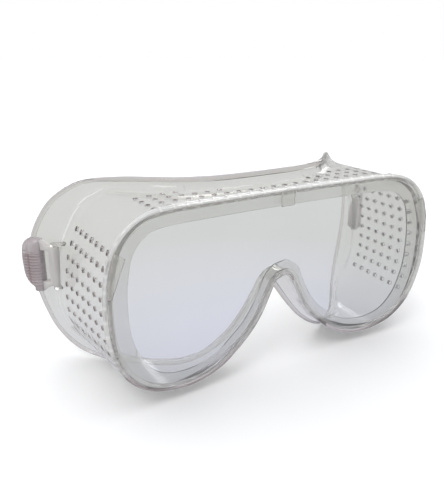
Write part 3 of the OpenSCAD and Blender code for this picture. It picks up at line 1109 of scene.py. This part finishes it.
# The lens's cut edge is coloured brown-mauve as painted shade for the dark line along it
edge_shade_mat = clear_plastic("lens_cut_edge_shade", (0.88, 0.72, 0.68), (0.8, 0.64, 0.6), 0.8, 0.12, 1.45,
                         0.0001)
clip_mat = clear_plastic("clip_plastic", (0.93, 0.9, 0.88), (0.88, 0.85, 0.83), 0.35, 0.08, 1.42,
                         0.0001, (0.66, 0.56, 0.57), 20)
grip_mat = clear_plastic("grip_plastic", (0.86, 0.82, 0.83), (0.76, 0.71, 0.725), 0.62, 0.035,
                         1.52, 0.0001, (0.66, 0.5, 0.54), 40)
# Painted shade in the grip's grooves and seam, over a darker tone on its ribbed part
darkened_by(grip_mat, "groove", (0.5, 0.385, 0.405))


def dress(ob, mat, slot, body, *replaced):
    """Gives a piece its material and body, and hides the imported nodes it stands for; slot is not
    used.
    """
    ob.data.materials.clear()
    ob.data.materials.append(mat)
    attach(ob, body)
    if replaced:
        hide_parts(*replaced)
    return ob


# ---- Pieces ----

mask_verts, mask_faces, mask_marks = mask_mesh()
mask = new_object("mask_moulding", mask_verts, mask_faces, marks=mask_marks)
dress(mask, pvc, "clear_pvc", "mask", "front_rim", "vent_wall", "cheek_wall", "brow_flange",
      "cheek_flange")

lens_ring = widened(lip_ring, *[LENS_HOLD] * 4)
lens = ring_fill("lens_sheet", lens_ring, lambda x: front_y(x) + LIP_DEPTH + LENS_GAP, LENS_T)
dress(lens, lens_mat, "lens_polycarbonate", "mask", "lens")
lens.data.materials.append(edge_shade_mat)
mark_edge(lens, 1)

TAB_BACK, TAB_FRONT = -0.05, -0.9
tab = plate("top_lens_tab", [(-2.9, 69.4), (2.9, 69.4), (2.9, 63.4), (-2.9, 63.4)],
            TAB_BACK, TAB_FRONT)
dress(tab, pvc, "clear_pvc", "mask", "lens_tabs")
WEDGE = [(72.6, 56.5), (71.6, 58), (68.3, 55.3), (74.1, 42), (75.2, 42), (74.6, 50)]
for side, label in SIDES:
    wedge = plate(label + "_lens_tab", [(side * x, z) for x, z in WEDGE], TAB_BACK, TAB_FRONT)
    dress(wedge, pvc, "clear_pvc", "mask")

for side, label in SIDES:
    body = label + "_clip"
    dress(clip_frame(label + "_clip_frame", side), clip_mat, "clip_plastic", body,
          label + "_strap_clip")
    dress(hinge_bar(label + "_clip_hinge_bar", side), clip_mat, "clip_plastic", body)
    dress(grip_barrel(label + "_grip_barrel", side), grip_mat, "clip_plastic", body,
          label + "_ribbed_grip")
    post = frame["nodes"][label + "_hinge_post"]
    post.data.materials.clear()
    post.data.materials.append(pvc)

# ---- Camera, at the photograph's viewing angle ----

CAMERA_AT = (-130.9, -169.9, 120.0)
CAMERA_YAW, CAMERA_PITCH = 30.8, 19.3
CAMERA_LENS = 41.2

cam_data = bpy.data.cameras.new("camera")
cam_data.sensor_width = 36
cam_data.sensor_fit = "AUTO"
cam_data.lens = CAMERA_LENS
cam_data.clip_start, cam_data.clip_end = 0.01, 100
cam = bpy.data.objects.new("camera", cam_data)
cam.location = to_frame(*CAMERA_AT)
cam.rotation_euler = (math.radians(90 - CAMERA_PITCH), 0, math.radians(-CAMERA_YAW))
bpy.context.scene.collection.objects.link(cam)
bpy.context.scene.camera = cam

# ---- Studio ----

SURROUND_R = 8.0
INDIRECT_RAYS = ("diffuse", "glossy", "transmission", "volume_scatter", "shadow")


def show_to(ob, camera):
    """Leaves an object to the camera's direct rays, or to all the other rays."""
    ob.visible_camera = camera
    for ray in INDIRECT_RAYS:
        setattr(ob, "visible_" + ray, not camera)


def glow_towards(tree, shader, coords, near, far):
    """Gives a floor a faint glow that fades from one colour at the middle to another."""
    away = tree.nodes.new("ShaderNodeVectorMath")
    away.operation = "LENGTH"
    tree.links.new(coords.outputs["Object"], away.inputs[0])
    ramp = ramp_node(tree, away.outputs["Value"], [(0.03, near), (0.16, far)])
    tree.links.new(ramp.outputs["Color"], shader.inputs["Emission Color"])
    shader.inputs["Emission Strength"].default_value = 1
def flat_floor(name, level, shade, glow, to_camera):
    """A round floor. One is seen directly; the other is what the clear plastics show."""
    mesh = bpy.data.meshes.new(name)
    r, n = SURROUND_R * 1.02, 96
    mesh.from_pydata([(r * math.cos(2 * math.pi * k / n), r * math.sin(2 * math.pi * k / n), 0)
                      for k in range(n)], [], [tuple(range(n))])
    ob = bpy.data.objects.new(name, mesh)
    mat, tree, shader, coords = nodes_of(name + "_paper")
    grain = noise_node(tree, coords, 3)
    ramp = ramp_node(tree, grain.outputs["Fac"], [(0, (shade,) * 3), (1, (shade * 1.01,) * 3)])
    tree.links.new(ramp.outputs["Color"], shader.inputs["Base Color"])
    shader.inputs["Roughness"].default_value = 1
    shader.inputs["Specular IOR Level"].default_value = 0
    if glow:
        glow_towards(tree, shader, coords, *glow)
    mesh.materials.append(mat)
    bpy.context.scene.collection.objects.link(ob)
    ob.location.z = level
    show_to(ob, to_camera)


def backdrop():
    """A white surround that only the camera sees directly."""
    bm = bmesh.new()
    bmesh.ops.create_uvsphere(bm, u_segments=48, v_segments=24, radius=SURROUND_R)
    mesh = bpy.data.meshes.new("backdrop")
    bm.to_mesh(mesh)
    bm.free()
    ob = bpy.data.objects.new("backdrop", mesh)
    mat = bpy.data.materials.new("backdrop_white")
    mat.use_nodes = True
    tree = mat.node_tree
    tree.nodes.clear()
    out = tree.nodes.new("ShaderNodeOutputMaterial")
    glow = tree.nodes.new("ShaderNodeEmission")
    glow.inputs["Color"].default_value = (1, 1, 1, 1)
    tree.links.new(glow.outputs[0], out.inputs["Surface"])
    mesh.materials.append(mat)
    bpy.context.scene.collection.objects.link(ob)
    show_to(ob, True)


def softbox(name, at, target, size, power):
    """A rectangular light that faces a point."""
    data = bpy.data.lights.new(name, "AREA")
    data.shape = "RECTANGLE"
    data.size, data.size_y = size
    data.energy = power
    ob = bpy.data.objects.new(name, data)
    ob.location = at
    ob.rotation_mode = "QUATERNION"
    ob.rotation_quaternion = (Vector(at) - Vector(target)).to_track_quat("Z", "Y")
    bpy.context.scene.collection.objects.link(ob)


def world():
    """Grey surroundings for what the plastic reflects and refracts, by height."""
    w = bpy.data.worlds.new("studio")
    bpy.context.scene.world = w
    w.use_nodes = True
    tree = w.node_tree
    back = tree.nodes["Background"]
    coords = tree.nodes.new("ShaderNodeTexCoord")
    split = tree.nodes.new("ShaderNodeSeparateXYZ")
    tree.links.new(coords.outputs["Generated"], split.inputs[0])
    ramp = ramp_node(tree, split.outputs["Z"],
                     [(0.0, (0.66, 0.665, 0.66)), (0.12, (0.68, 0.685, 0.68)),
                      (0.35, (0.62, 0.63, 0.64)), (0.7, (0.55, 0.56, 0.58)),
                      (1.0, (0.8, 0.8, 0.82))])
    tree.links.new(ramp.outputs["Color"], back.inputs["Color"])
    back.inputs["Strength"].default_value = 1.0


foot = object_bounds()[0].z
flat_floor("floor", foot - 0.0002, 0.97, None, True)
flat_floor("floor_behind_plastic", foot - 0.0004, 0.14,
           ((0.575, 0.58, 0.65), (0.5, 0.51, 0.505)), False)
backdrop()
world()
centre = Vector(((rim_low + rim_high) / 2))
softbox("key", centre + Vector((-0.7, -0.5, 1.1)), centre, (0.4, 0.4), 2.5)
softbox("back", centre + Vector((0.8, 0.8, 0.48)), centre, (0.85, 0.22), 1.5)
sun_data = bpy.data.lights.new("sky", "SUN")
sun_data.energy = 1.5
sun_data.angle = math.radians(100)
sun = bpy.data.objects.new("sky", sun_data)
sun.rotation_euler = (math.radians(-15), math.radians(-12), 0)
sun.visible_glossy = sun.visible_transmission = False
bpy.context.scene.collection.objects.link(sun)

scene = bpy.context.scene
scene.view_settings.view_transform = "Standard"
scene.cycles.max_bounces = 24
scene.cycles.transmission_bounces = 24
scene.cycles.transparent_max_bounces = 24
scene.cycles.sample_clamp_indirect = 4
